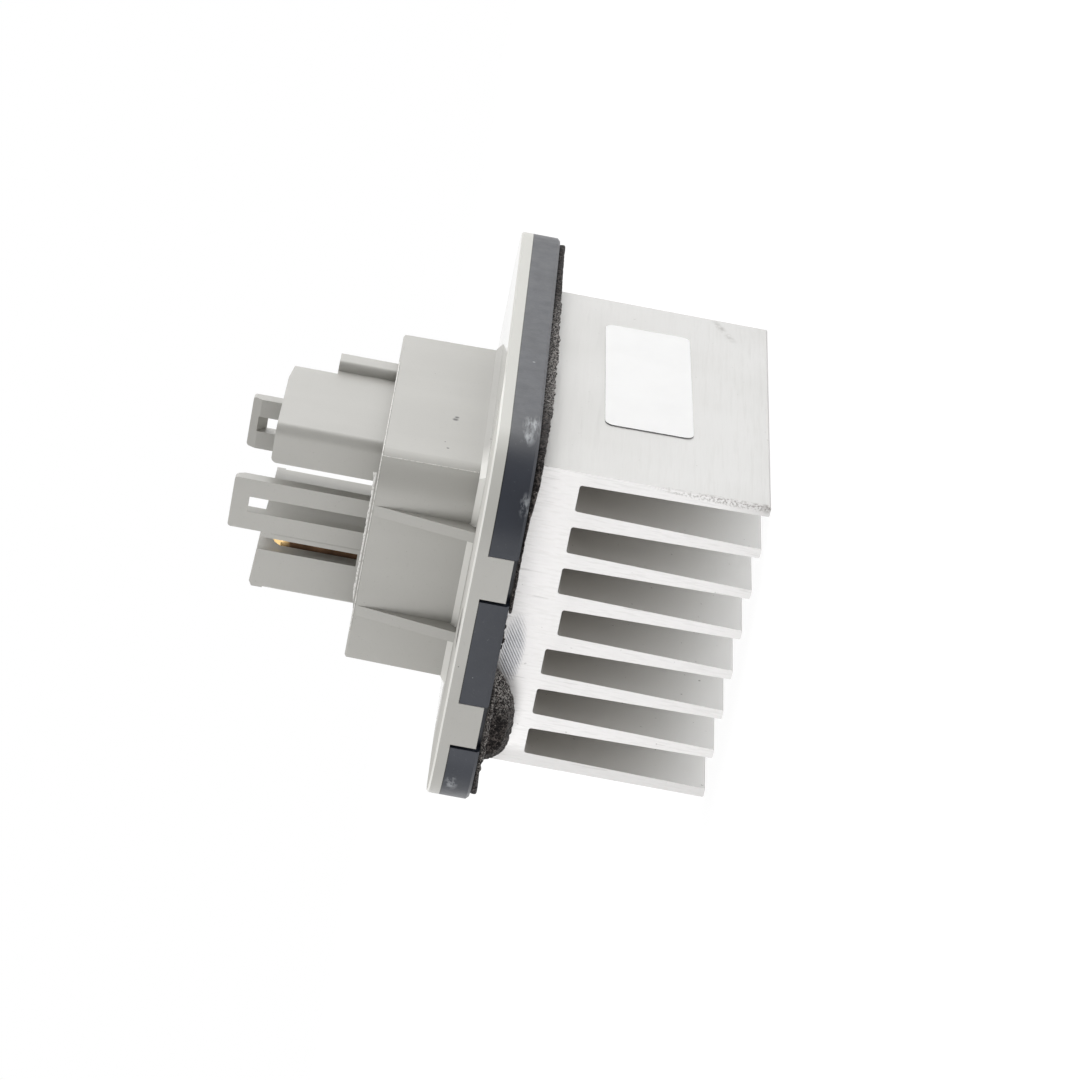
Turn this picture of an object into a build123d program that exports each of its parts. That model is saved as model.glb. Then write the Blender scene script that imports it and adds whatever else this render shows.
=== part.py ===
from build123d import *
import math
import os

# A blower motor resistor: a finned aluminium heat sink, a seal frame with its foam gasket,
# and a moulded housing with two plug sockets and the circuit inside.
# Millimetres. X runs across the fins towards the label, Y along the fins away from the
# end with the open latch, and Z from the fin tips at 0 up to the plug sockets.
# The origin is under the middle of the flange.

# Extruded heat sink
fin_count = 8
fin_pitch = 5.0
fin_tip_thickness = 1.08
slot_root_width = 3.13
fin_length = 20.4
screw_land_height = 0.9
slot_corner_radius = 0.3
fin_tip_radius = 0.18
sink_near_land = 10.35
sink_far_land = 14.55
wing_reach = 1.4
wing_thickness = 2.0
channel_width = 24.0
channel_depth = 2.4

# Seal frame and flange outline
flange_width = 43.7
flange_length = 72.9
flange_corner = 9.8
sink_reach = 25.6
frame_thickness = 3.25
frame_chamfer = 0.3
frame_gap = 0.15
mount_hole_radius = 2.25
mount_hole_inset = 4.85

# Clip tabs of the housing in the notches of the frame
tab_width = 5.1
tab_spacing = 17.8
tab_reach = 2.8
tab_depth = 1.6
tab_gap = 0.06
tab_slack = 0.3

# Foam gasket
foam_thickness = 0.75
foam_inset = 0.7
foam_gap = 0.2
foam_tear_start = 4.8
foam_tear_end = -5.0
foam_tear_lean = 0.6
foam_tear_spread = 0.9
foam_pressed = 0.35
foam_press_reach = 18.5
foam_press_ease = 3.0
foam_bulge_start = -5.6
foam_bulge_end = -17.4
foam_bulge_height = 2.65
foam_bulge_depth = 3.6
foam_bulge_share = 0.72

# Housing flange and box
flange_thickness = 1.35
flange_edge = 0.2
skirt_height = 0.65
skirt_margin = 0.65
body_width = 24.5
body_length = 35.0
body_shift = -2.68
body_height = 11.5
body_draft = 0.7
body_round = 4.0
body_edge = 0.4
body_rim_chamfer = 0.2
body_wall = 1.7
rib_spacing = 12.4
rib_thickness = 1.25
rib_foot = 2.0
rib_top_margin = 0.35

# Plug sockets on top of the box
socket_length = 16.6
socket_shift = -3.1
socket_height = 11.5
socket_wall = 0.8
socket_floor = 0.6
socket_round = 0.35
signal_socket_outer = 9.97
signal_socket_inner = 5.5
power_socket_inner = -3.0
power_socket_outer = -10.05
power_mouth_rise = 0.55
signal_corner = 1.2
signal_mouth_rise = 0.38
signal_mouth_run = 3.3
signal_mouth_round = 0.65
power_slot_edge = -5.35
key_length = 3.5
key_lip = 1.03
key_lip_setback = 0.9
key_round = 0.7
key_height = 6.6
key_depth = 3.0

# Latch loops beside the sockets
latch_width = 6.15
latch_thickness = 1.4
latch_height = 15.45
latch_window_width = 1.85
latch_bar = 1.95
latch_window_slant = 1.1
latch_lead_in_height = 1.0
latch_lead_in_depth = 0.5
latch_corner = 0.35
power_latch_center = -0.1
signal_latch_center = 2.6

# Copper blades and signal pins
blade_width = 6.3
blade_thickness = 0.75
blade_center = -4.8
blade_gap = 1.2
blade_tip = 51.9
blade_tip_chamfer = 0.9
blade_tail_width = 3.0
blade_tail_reach = 0.5
pin_size = 0.64
pin_count = 4
pin_pitch = 3.5
pin_tip = 50.8
pin_tip_chamfer = 0.2
terminal_gap = 0.1

# Circuit board on its two posts
board_thickness = 1.2
board_height = 4.2
board_gap = 0.3
post_radius = 2.2
post_x = 7.6
post_far_inset = 2.9
post_near_inset = 2.9
board_screw_radius = 1.0
board_screw_length = 5.0
board_screw_head_radius = 1.9
board_screw_head_height = 1.4
board_screw_gap = 0.05

# Power transistor clamped to the floor of the heat sink's channel
transistor_width = 10.2
transistor_body_length = 9.2
transistor_body_thickness = 4.4
transistor_tab_length = 6.4
transistor_tab_thickness = 1.3
lead_inset = 6.52
transistor_hole_radius = 1.85
transistor_hole_inset = 2.9
lead_pitch = 2.54
lead_width = 0.8
lead_thickness = 0.5
lead_height = 2.4
lead_run = 4.0
lead_stub = 0.5
pad_thickness = 0.25
pad_margin = 0.9
clamp_screw_radius = 1.5
clamp_screw_grip = 4.3
clamp_head_radius = 2.7
clamp_head_height = 1.9
clamp_recess = 0.9
washer_radius = 2.9
washer_thickness = 0.7
washer_split = 0.5
clamp_hole_depth = 5.2

# Parts soldered to the top of the board
can_radius = 3.15
can_height = 5.0
can_base = 6.5
can_base_height = 0.4
can_side_inset = 3.75
can_far_inset = 3.92
chip_length = 8.65
chip_width = 3.9
chip_height = 1.5
chip_standoff = 0.15
chip_leg_count = 7
chip_leg_pitch = 1.27
chip_leg_width = 0.42
chip_leg_reach = 1.05
chip_leg_thickness = 0.25
chip_x = 1.6
chip_shift = -0.3
diode_length = 6.9
diode_width = 5.8
diode_height = 2.3
diode_foot = 0.5
diode_x = 1.0
diode_near_inset = 5.6
shunt_length = 6.4
shunt_width = 2.6
shunt_height = 2.4
shunt_thickness = 0.7
shunt_x = 1.7
shunt_far_inset = 2.2
resistor_count = 4
resistor_length = 2.0
resistor_width = 1.25
resistor_height = 0.55
resistor_pitch = 3.0
resistor_side_inset = 1.65
resistor_shift = -0.8
capacitor_count = 3
capacitor_length = 3.2
capacitor_width = 1.6
capacitor_height = 1.3
capacitor_pitch = 5.5
capacitor_x = 6.0
capacitor_shift = -1.0
cap_wrap = 0.45
cap_proud = 0.04

# Blank sticker on the outer fin
sticker_length = 27.4
sticker_width = 9.85
sticker_thickness = 0.12
sticker_corner = 1.0
sticker_turn = 1.5
sticker_y = 1.0
sticker_z = 13.8

# Levels and faces that follow from the sizes above
slot_count = fin_count - 1
sink_width = slot_count * fin_pitch + fin_tip_thickness
flange_end = flange_length / 2
sink_near = sink_near_land - flange_end
sink_far = flange_end - sink_far_land
sink_length = sink_far - sink_near
sink_shift = (sink_near + sink_far) / 2
frame_front = sink_reach
frame_back = frame_front + frame_thickness
sink_top = frame_back
channel_floor = sink_top - channel_depth
flange_back = frame_back + flange_thickness
body_top = flange_back + body_height
body_lean = body_height * math.tan(math.radians(body_draft))
ceiling = body_top - body_wall
board_bottom = frame_back + board_height
board_top = board_bottom + board_thickness
body_near = body_shift - body_length / 2
body_far = body_shift + body_length / 2
room_width = body_width - 2 * body_wall
room_length = body_length - 2 * body_wall
board_width = room_width - 2 * board_gap
board_length = room_length - 2 * board_gap
board_near = body_shift - board_length / 2
board_far = body_shift + board_length / 2
socket_top = body_top + socket_height
socket_near = socket_shift - socket_length / 2
socket_far = socket_shift + socket_length / 2
latch_top = body_top + latch_height
tab_places = [
    (side * tab_spacing / 2, end * (flange_end - tab_depth / 2))
    for side in (-1, 1)
    for end in (-1, 1)
]
mount_places = [(0, mount_hole_inset - flange_end), (0, flange_end - mount_hole_inset)]
post_places = [
    (post_x, board_far - post_far_inset),
    (-post_x, board_near + post_near_inset),
]
blade_places = [
    socket_shift - (blade_width + blade_gap) / 2,
    socket_shift + (blade_width + blade_gap) / 2,
]
pin_x = (signal_socket_outer + signal_socket_inner) / 2
pin_places = [
    socket_shift + (index - (pin_count - 1) / 2) * pin_pitch
    for index in range(pin_count)
]
tail_end = board_bottom - blade_tail_reach
pad_top = channel_floor + pad_thickness
lead_y = board_far - lead_inset
body_end = lead_y - lead_run
body_start = body_end - transistor_body_length
transistor_end = body_start - transistor_tab_length
clamp_y = transistor_end + transistor_hole_inset
lead_places = [-lead_pitch, 0, lead_pitch]
washer_bottom = pad_top + transistor_tab_thickness
can_x = can_side_inset - board_width / 2
can_y = board_far - can_far_inset
chip_y = body_shift + chip_shift
diode_y = board_near + diode_near_inset
shunt_y = board_far - shunt_far_inset
resistor_x = resistor_side_inset - board_width / 2
resistor_y = body_shift + resistor_shift - (resistor_count - 1) / 2 * resistor_pitch
capacitor_y = body_shift + capacitor_shift - (capacitor_count - 1) / 2 * capacitor_pitch

os.makedirs("parts", exist_ok=True)


def write(piece, node):
    piece.part.label = node
    export_step(piece.part, f"parts/{node}.step")


def level(height):
    return Plane.XY.offset(height)


def across(y):
    """The plane square to the fins at y, with X to the right and Z up."""
    return Plane.XZ.offset(-y)


# Heat sink: one profile, extruded along the fins and cut square at both ends
with BuildPart() as heat_sink:
    with BuildSketch(across(sink_far)) as sink_profile:
        with Locations((0, sink_top / 2)):
            Rectangle(sink_width, sink_top)
        with Locations((0, sink_top - wing_thickness / 2)):
            Rectangle(sink_width + 2 * wing_reach, wing_thickness)
        with Locations((0, sink_top - channel_depth / 2)):
            Rectangle(channel_width, channel_depth, mode=Mode.SUBTRACT)
        mouth_half = (fin_pitch - fin_tip_thickness) / 2
        root_half = slot_root_width / 2
        for index in range(slot_count):
            middle = (index - (slot_count - 1) / 2) * fin_pitch
            is_middle = 2 * index == slot_count - 1
            root = fin_length - (screw_land_height if is_middle else 0)
            with BuildLine():
                Polyline(
                    (middle - mouth_half, 0),
                    (middle - root_half, root),
                    (middle + root_half, root),
                    (middle + mouth_half, 0),
                    close=True,
                )
            make_face(mode=Mode.SUBTRACT)
            roots = sink_profile.vertices().filter_by_position(Axis.Y, root - 0.01, root + 0.01)
            fillet(roots.filter_by_position(Axis.X, middle - root_half - 0.01, middle + root_half + 0.01),
                   slot_corner_radius)
        fillet(sink_profile.vertices().filter_by_position(Axis.Y, -0.01, 0.01), fin_tip_radius)
    extrude(amount=sink_length)
    with Locations((0, clamp_y, channel_floor)):
        Hole(clamp_screw_radius + 0.05, clamp_hole_depth)
write(heat_sink, "heat_sink")


# Sticker: bare, with rounded corners, laid a little askew on the outer fin
with BuildPart() as sticker:
    sticker_plane = Plane(origin=(sink_width / 2, sticker_y, sticker_z), x_dir=(0, 1, 0), z_dir=(1, 0, 0))
    with BuildSketch(sticker_plane):
        RectangleRounded(sticker_length, sticker_width, sticker_corner, rotation=sticker_turn)
    extrude(amount=sticker_thickness)
write(sticker, "blank_sticker")


# Seal frame: a hard plate with a window for the sink, a rebate that traps its wings,
# notches for the clip tabs and the two mounting holes
with BuildPart() as seal_frame:
    with BuildSketch(level(frame_front)):
        RectangleRounded(flange_width, flange_length, flange_corner)
        with Locations((0, sink_shift)):
            Rectangle(sink_width + 2 * frame_gap, sink_length + 2 * frame_gap, mode=Mode.SUBTRACT)
        with Locations(*mount_places):
            Circle(mount_hole_radius, mode=Mode.SUBTRACT)
    extrude(amount=frame_thickness)
    front_rim = seal_frame.faces().sort_by(Axis.Z)[0].outer_wire().edges()
    chamfer(front_rim, frame_chamfer)
    with BuildSketch(level(frame_back)):
        with Locations((0, sink_shift)):
            Rectangle(sink_width + 2 * (wing_reach + frame_gap), sink_length + 2 * frame_gap)
    extrude(amount=-wing_thickness - frame_gap, mode=Mode.SUBTRACT)
    with BuildSketch(level(frame_front)):
        with Locations(*[(x - tab_slack / 2, y) for x, y in tab_places]):
            Rectangle(tab_width + 2 * tab_gap + tab_slack, tab_depth + 2 * tab_gap)
    extrude(amount=frame_thickness, mode=Mode.SUBTRACT)
write(seal_frame, "seal_frame")


# Foam gasket: a ring on the front of the frame, pressed thin along the near end, torn open
# there and swollen beside the tear
foam_width = flange_width - 2 * foam_inset
foam_length = flange_length - 2 * foam_inset
foam_corner = flange_corner - foam_inset
foam_front = frame_front - foam_thickness
foam_near = -foam_length / 2
strip_near = sink_near - foam_gap
with BuildPart() as foam_gasket:
    with BuildSketch(level(foam_front)):
        RectangleRounded(foam_width, foam_length, foam_corner)
        with Locations((0, sink_shift)):
            Rectangle(sink_width + 2 * foam_gap, sink_length + 2 * foam_gap, mode=Mode.SUBTRACT)
        with Locations(*mount_places):
            Circle(mount_hole_radius, mode=Mode.SUBTRACT)
        with BuildLine():
            Polyline(
                (foam_tear_start, foam_near - 1),
                (foam_tear_start + foam_tear_lean, (foam_near + strip_near) / 2),
                (foam_tear_start, strip_near + 1),
                (foam_tear_end - foam_tear_spread, strip_near + 1),
                (foam_tear_end - foam_tear_lean, (foam_near + strip_near) / 2),
                (foam_tear_end, foam_near - 1),
                close=True,
            )
        make_face(mode=Mode.SUBTRACT)
    extrude(amount=foam_thickness)
    with BuildSketch(across(strip_near)):
        with BuildLine():
            Polyline(
                (-foam_press_reach, foam_front),
                (-foam_press_reach + foam_press_ease, foam_front + foam_pressed),
                (foam_press_reach - foam_press_ease, foam_front + foam_pressed),
                (foam_press_reach, foam_front),
                close=True,
            )
        make_face()
    extrude(amount=strip_near - foam_near, mode=Mode.SUBTRACT)
    bulge_middle = (foam_bulge_start + foam_bulge_end) / 2
    bulge_half = (foam_bulge_start - foam_bulge_end) / 2
    bulge_root = foam_front + foam_thickness / 2
    for step, share in ((0, foam_bulge_share), (0.5, 1), (1, foam_bulge_share)):
        with BuildSketch(across(strip_near - step * foam_bulge_depth)):
            with BuildLine():
                crest = Spline(
                    (bulge_middle + bulge_half * share, bulge_root),
                    (bulge_middle + bulge_half * 0.52 * share, foam_front - foam_bulge_height * 0.7 * share),
                    (bulge_middle - bulge_half * 0.24 * share, foam_front - foam_bulge_height * share),
                    (bulge_middle - bulge_half * 0.82 * share, foam_front - foam_bulge_height * 0.68 * share),
                    (bulge_middle - bulge_half * share, bulge_root),
                )
                Line(crest @ 1, crest @ 0)
            make_face()
    loft(ruled=True)
write(foam_gasket, "foam_gasket")


def latch_profile(inner, outward):
    """The side view of a latch loop: inner is the face towards the plug, outward its sense in Y."""
    outer = inner + outward * latch_thickness
    lead = inner + outward * latch_lead_in_depth
    return [
        (inner, body_top),
        (inner, latch_top - latch_lead_in_height),
        (lead, latch_top),
        (outer, latch_top),
        (outer, body_top),
    ]


def latch_window(inner, outward):
    """The side view of a latch window, whose far end slants towards the inner face."""
    outer = inner + outward * latch_thickness
    window_top = latch_top - latch_bar
    return [
        (inner - outward, body_top),
        (inner - outward, window_top + latch_window_slant * (1 + 1 / latch_thickness)),
        (outer + outward, window_top - latch_window_slant / latch_thickness),
        (outer + outward, body_top),
    ]


# Housing: flange, box, sockets and latch loops in one moulding
with BuildPart() as housing:
    # Flange plate, its back edge softened, with a low skirt round the foot of the box
    with BuildSketch(level(frame_back)):
        RectangleRounded(flange_width, flange_length, flange_corner)
    extrude(amount=flange_thickness)
    chamfer(housing.faces().sort_by(Axis.Z)[-1].edges(), flange_edge)
    with BuildSketch(level(flange_back)):
        with Locations((0, body_shift)):
            Rectangle(body_width + 2 * skirt_margin, body_length + 2 * skirt_margin)
    extrude(amount=skirt_height, taper=math.degrees(math.atan2(skirt_margin * 0.9, skirt_height)))
    # Clip tabs
    with BuildSketch(level(frame_back)):
        with Locations(*tab_places):
            Rectangle(tab_width, tab_depth)
    extrude(amount=-tab_reach)
    # Box with mould draft: two opposite corners are well rounded, the others nearly sharp
    with BuildSketch(level(flange_back)) as body_outline:
        with Locations((0, body_shift)):
            Rectangle(body_width, body_length)
        soft = [corner for corner in body_outline.vertices() if (corner.X > 0) == (corner.Y < body_shift)]
        sharp = [corner for corner in body_outline.vertices() if (corner.X > 0) != (corner.Y < body_shift)]
        fillet(soft, body_round)
        fillet(sharp, body_edge)
    extrude(amount=body_height, taper=body_draft)
    chamfer(housing.faces().sort_by(Axis.Z)[-1].outer_wire().edges(), body_rim_chamfer)
    # Gusset ribs on both ends of the box
    for side in (-1, 1):
        for end, face in ((-1, body_near), (1, body_far)):
            with BuildSketch(Plane.YZ.offset(side * rib_spacing / 2 - rib_thickness / 2)):
                with BuildLine():
                    Polyline(
                        (face + end * rib_foot, flange_back),
                        (face - end * body_lean, body_top - rib_top_margin),
                        (face - end * body_wall, body_top - rib_top_margin),
                        (face - end * body_wall, flange_back),
                        close=True,
                    )
                make_face()
            extrude(amount=rib_thickness)
    # Socket walls: the open corner of the signal socket is well rounded
    with BuildSketch(level(body_top - body_rim_chamfer)):
        with Locations(((power_socket_inner + power_socket_outer) / 2, socket_shift)):
            RectangleRounded(power_socket_inner - power_socket_outer, socket_length, socket_round)
    extrude(amount=socket_height + body_rim_chamfer)
    signal_mouth = socket_top + signal_mouth_rise
    with BuildSketch(level(body_top - body_rim_chamfer)) as signal_outline:
        with Locations(((signal_socket_inner + signal_socket_outer) / 2, socket_shift)):
            Rectangle(signal_socket_outer - signal_socket_inner, socket_length)
        corners = signal_outline.vertices().sort_by(lambda corner: corner.Y - corner.X)
        fillet(corners[0], signal_corner)
        fillet(corners[1:], socket_round)
    extrude(amount=signal_mouth - body_top + body_rim_chamfer)
    # The mouth of the signal socket drops at its far end and is rounded at its inner side
    with BuildSketch(Plane.YZ.offset(signal_socket_inner)):
        with BuildLine():
            Polyline(
                (socket_far - signal_mouth_run, signal_mouth),
                (socket_far, socket_top),
                (socket_far + 1, socket_top),
                (socket_far + 1, signal_mouth + 1),
                (socket_far - signal_mouth_run, signal_mouth + 1),
                close=True,
            )
        make_face()
    extrude(amount=signal_socket_outer - signal_socket_inner, mode=Mode.SUBTRACT)
    with BuildSketch(across(socket_far)):
        with BuildLine():
            rounding = ThreePointArc(
                (signal_socket_inner, signal_mouth - signal_mouth_round),
                (
                    signal_socket_inner + signal_mouth_round * (1 - math.sqrt(0.5)),
                    signal_mouth - signal_mouth_round * (1 - math.sqrt(0.5)),
                ),
                (signal_socket_inner + signal_mouth_round, signal_mouth),
            )
            Polyline(
                rounding @ 1,
                (signal_socket_inner + signal_mouth_round, signal_mouth + 1),
                (signal_socket_inner - 1, signal_mouth + 1),
                (signal_socket_inner - 1, signal_mouth - signal_mouth_round),
                rounding @ 0,
            )
        make_face()
    extrude(amount=socket_length, mode=Mode.SUBTRACT)
    # The mouth of the power socket slopes
    with BuildSketch(across(socket_far)):
        with BuildLine():
            Polyline(
                (power_socket_inner, socket_top),
                (power_socket_outer + 0.6, socket_top + power_mouth_rise),
                (power_socket_outer, socket_top + power_mouth_rise * 0.4),
                (power_socket_outer, socket_top - 1),
                (power_socket_inner, socket_top - 1),
                close=True,
            )
        make_face()
    extrude(amount=socket_length)
    # Keying rail outside the far wall of the signal socket
    with BuildSketch(level(body_top - body_rim_chamfer)) as key_outline:
        with BuildLine():
            Polyline(
                (signal_socket_outer - key_depth, socket_far - socket_wall),
                (signal_socket_outer, socket_far - socket_wall),
                (signal_socket_outer, socket_far + key_lip_setback),
                (signal_socket_outer + key_lip, socket_far + key_lip_setback),
                (signal_socket_outer + key_lip, socket_far + key_length),
                (signal_socket_outer - key_depth, socket_far + key_length),
                close=True,
            )
        make_face()
        fillet(key_outline.vertices().sort_by(Axis.X)[-2:].sort_by(Axis.Y)[0], key_round)
    extrude(amount=key_height + body_rim_chamfer)
    # Latch loops, one at each end of the gap between the sockets
    for middle, inner, outward in (
        (power_latch_center, socket_near + latch_thickness, -1),
        (signal_latch_center, socket_far - latch_thickness, 1),
    ):
        with BuildSketch(Plane.YZ.offset(middle - latch_width / 2)):
            with BuildLine():
                Polyline(*latch_profile(inner, outward), close=True)
            make_face()
        extrude(amount=latch_width)
        with BuildSketch(Plane.YZ.offset(middle - latch_window_width / 2)):
            with BuildLine():
                Polyline(*latch_window(inner, outward), close=True)
            make_face()
        extrude(amount=latch_window_width, mode=Mode.SUBTRACT)
    tips = housing.faces().sort_by(Axis.Z)[-2:]
    fillet(tips.edges().filter_by(Axis.Y), latch_corner)
    # Socket cavities
    for inner, outer in (
        (signal_socket_inner, signal_socket_outer),
        (power_socket_inner, power_socket_outer),
    ):
        with BuildSketch(level(body_top + socket_floor)):
            with Locations(((inner + outer) / 2, socket_shift)):
                Rectangle(abs(outer - inner) - 2 * socket_wall, socket_length - 2 * socket_wall)
        extrude(amount=socket_height, mode=Mode.SUBTRACT)
    # Side slot that bares the edge of the near blade
    slot_top = power_socket_inner - socket_wall
    with BuildSketch(level(body_top + socket_floor)):
        with Locations(((slot_top + power_slot_edge) / 2, socket_near)):
            Rectangle(slot_top - power_slot_edge, 2 * socket_wall + 0.2)
    extrude(amount=socket_height, mode=Mode.SUBTRACT)
    # Room for the circuit, open towards the heat sink
    with BuildSketch(level(frame_back)):
        with Locations((0, body_shift)):
            Rectangle(room_width, room_length)
    extrude(amount=ceiling - frame_back, mode=Mode.SUBTRACT)
    # Posts that carry the board
    with BuildSketch(level(board_top)):
        with Locations(*post_places):
            Circle(post_radius)
    extrude(amount=ceiling - board_top)
    with BuildSketch(level(board_top)):
        with Locations(*post_places):
            Circle(board_screw_radius + board_screw_gap)
    extrude(amount=board_screw_length - board_thickness + board_screw_gap, mode=Mode.SUBTRACT)
    # Passages for blades and pins
    with BuildSketch(level(ceiling)):
        with Locations(*[(blade_center, y) for y in blade_places]):
            Rectangle(blade_thickness + 2 * terminal_gap, blade_width + 2 * terminal_gap)
        with Locations(*[(pin_x, y) for y in pin_places]):
            Rectangle(pin_size + 2 * terminal_gap, pin_size + 2 * terminal_gap)
    extrude(amount=body_wall + socket_floor, mode=Mode.SUBTRACT)
    # Mounting holes through the flange
    with BuildSketch(level(frame_back)):
        with Locations(*mount_places):
            Circle(mount_hole_radius)
    extrude(amount=flange_thickness, mode=Mode.SUBTRACT)
write(housing, "housing")


# Copper blades of the power socket, each with a narrow tail through the board
for name, y in zip(("near", "far"), blade_places):
    with BuildPart() as blade:
        with BuildSketch(Plane.YZ.offset(blade_center - blade_thickness / 2)):
            with BuildLine():
                Polyline(
                    (y - blade_tail_width / 2, tail_end),
                    (y - blade_tail_width / 2, board_top + board_gap),
                    (y - blade_width / 2, board_top + board_gap),
                    (y - blade_width / 2, blade_tip - blade_tip_chamfer),
                    (y - blade_width / 2 + blade_tip_chamfer, blade_tip),
                    (y + blade_width / 2 - blade_tip_chamfer, blade_tip),
                    (y + blade_width / 2, blade_tip - blade_tip_chamfer),
                    (y + blade_width / 2, board_top + board_gap),
                    (y + blade_tail_width / 2, board_top + board_gap),
                    (y + blade_tail_width / 2, tail_end),
                    close=True,
                )
            make_face()
        extrude(amount=blade_thickness)
        tip_edges = blade.faces().sort_by(Axis.Z)[-1].edges().filter_by(Axis.Y)
        chamfer(tip_edges, blade_thickness * 0.3)
    write(blade, f"power_blade_{name}")


# Square signal pins with pointed tips
for index, y in enumerate(pin_places):
    with BuildPart() as pin:
        with BuildSketch(level(tail_end)):
            with Locations((pin_x, y)):
                Rectangle(pin_size, pin_size)
        extrude(amount=pin_tip - tail_end)
        chamfer(pin.faces().sort_by(Axis.Z)[-1].edges(), pin_tip_chamfer)
    write(pin, f"signal_pin_{index + 1}")


# Circuit board with its screw, blade, pin and lead holes
with BuildPart() as circuit_board:
    with BuildSketch(level(board_bottom)):
        with Locations((0, body_shift)):
            Rectangle(board_width, board_length)
        with Locations(*post_places):
            Circle(board_screw_radius + board_screw_gap, mode=Mode.SUBTRACT)
        with Locations(*[(blade_center, y) for y in blade_places]):
            Rectangle(
                blade_thickness + 2 * terminal_gap, blade_tail_width + 2 * terminal_gap, mode=Mode.SUBTRACT
            )
        with Locations(*[(pin_x, y) for y in pin_places]):
            Rectangle(pin_size + 2 * terminal_gap, pin_size + 2 * terminal_gap, mode=Mode.SUBTRACT)
        with Locations(*[(x, lead_y) for x in lead_places]):
            Rectangle(lead_width + 2 * terminal_gap, lead_thickness + 2 * terminal_gap, mode=Mode.SUBTRACT)
    extrude(amount=board_thickness)
write(circuit_board, "circuit_board")


# Pan head screws that hold the board up against its posts
with BuildPart() as board_screws:
    with BuildSketch(level(board_bottom)):
        with Locations(*post_places):
            Circle(board_screw_head_radius)
    extrude(amount=-board_screw_head_height)
    with BuildSketch(level(board_bottom)):
        with Locations(*post_places):
            Circle(board_screw_radius)
    extrude(amount=board_screw_length)
write(board_screws, "board_screws")


# Transistor: metal tab with a clamping hole, plastic body, and three leads bent up
with BuildPart() as transistor:
    with BuildSketch(level(pad_top)):
        with Locations((0, (transistor_end + body_end) / 2)):
            Rectangle(transistor_width, body_end - transistor_end)
        with Locations((0, clamp_y)):
            Circle(transistor_hole_radius, mode=Mode.SUBTRACT)
    extrude(amount=transistor_tab_thickness)
    with BuildSketch(level(pad_top)):
        with Locations((0, (body_start + body_end) / 2)):
            Rectangle(transistor_width, transistor_body_length)
    extrude(amount=transistor_body_thickness)
    chamfer(transistor.faces().sort_by(Axis.Z)[-1].edges(), 0.4)
    for x in lead_places:
        with BuildSketch(Plane.YZ.offset(x - lead_width / 2)):
            with BuildLine():
                route = FilletPolyline(
                    (body_end - 0.5, pad_top + lead_height),
                    (lead_y, pad_top + lead_height),
                    (lead_y, board_top + lead_stub),
                    radius=0.8,
                )
                offset(route, amount=lead_thickness / 2, side=Side.BOTH)
            make_face()
        extrude(amount=lead_width)
write(transistor, "power_transistor")


# Insulating pad under the transistor
with BuildPart() as pad:
    with BuildSketch(level(channel_floor)):
        with Locations((0, (transistor_end + body_end) / 2)):
            RectangleRounded(
                transistor_width + 2 * pad_margin, body_end - transistor_end + 2 * pad_margin, pad_margin
            )
        with Locations((0, clamp_y)):
            Circle(transistor_hole_radius, mode=Mode.SUBTRACT)
    extrude(amount=pad_thickness)
write(pad, "insulating_pad")


# Split spring washer and the screw that clamps the transistor
with BuildPart() as washer:
    with BuildSketch(level(washer_bottom)):
        with Locations((0, clamp_y)):
            Circle(washer_radius)
            Circle(clamp_screw_radius + 0.1, mode=Mode.SUBTRACT)
        with Locations((washer_radius - 0.5, clamp_y)):
            Rectangle(washer_radius, washer_split, mode=Mode.SUBTRACT)
    extrude(amount=washer_thickness)
write(washer, "spring_washer")

head_bottom = washer_bottom + washer_thickness
with BuildPart() as clamp_screw:
    with BuildSketch(level(head_bottom)):
        with Locations((0, clamp_y)):
            Circle(clamp_head_radius)
    extrude(amount=clamp_head_height)
    chamfer(clamp_screw.faces().sort_by(Axis.Z)[-1].edges(), clamp_head_height * 0.45)
    with BuildSketch(level(head_bottom)):
        with Locations((0, clamp_y)):
            Circle(clamp_screw_radius)
    extrude(amount=-(head_bottom - channel_floor + clamp_screw_grip))
    with BuildSketch(level(head_bottom + clamp_head_height)):
        with Locations((0, clamp_y)):
            Rectangle(clamp_head_radius, clamp_recess * 0.6)
            Rectangle(clamp_recess * 0.6, clamp_head_radius)
    extrude(amount=-clamp_recess, mode=Mode.SUBTRACT)
write(clamp_screw, "clamp_screw")


# Electrolytic capacitor: a can with a rolled groove on a square base
with BuildPart() as can:
    with BuildSketch(level(board_top)):
        with Locations((can_x, can_y)):
            Rectangle(can_base, can_base)
    extrude(amount=can_base_height)
    with BuildSketch(Plane.XZ.offset(-can_y)):
        with BuildLine():
            low = board_top + can_base_height
            high = board_top + can_height
            Polyline(
                (can_x, low),
                (can_x + can_radius - 0.1, low),
                (can_x + can_radius - 0.1, low + 0.5),
                (can_x + can_radius - 0.35, low + 0.7),
                (can_x + can_radius - 0.1, low + 0.9),
                (can_x + can_radius - 0.1, high - 0.4),
                (can_x + can_radius - 0.5, high),
                (can_x, high),
                close=True,
            )
        make_face()
    revolve(axis=Axis((can_x, can_y, 0), (0, 0, 1)))
write(can, "filter_capacitor")


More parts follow.
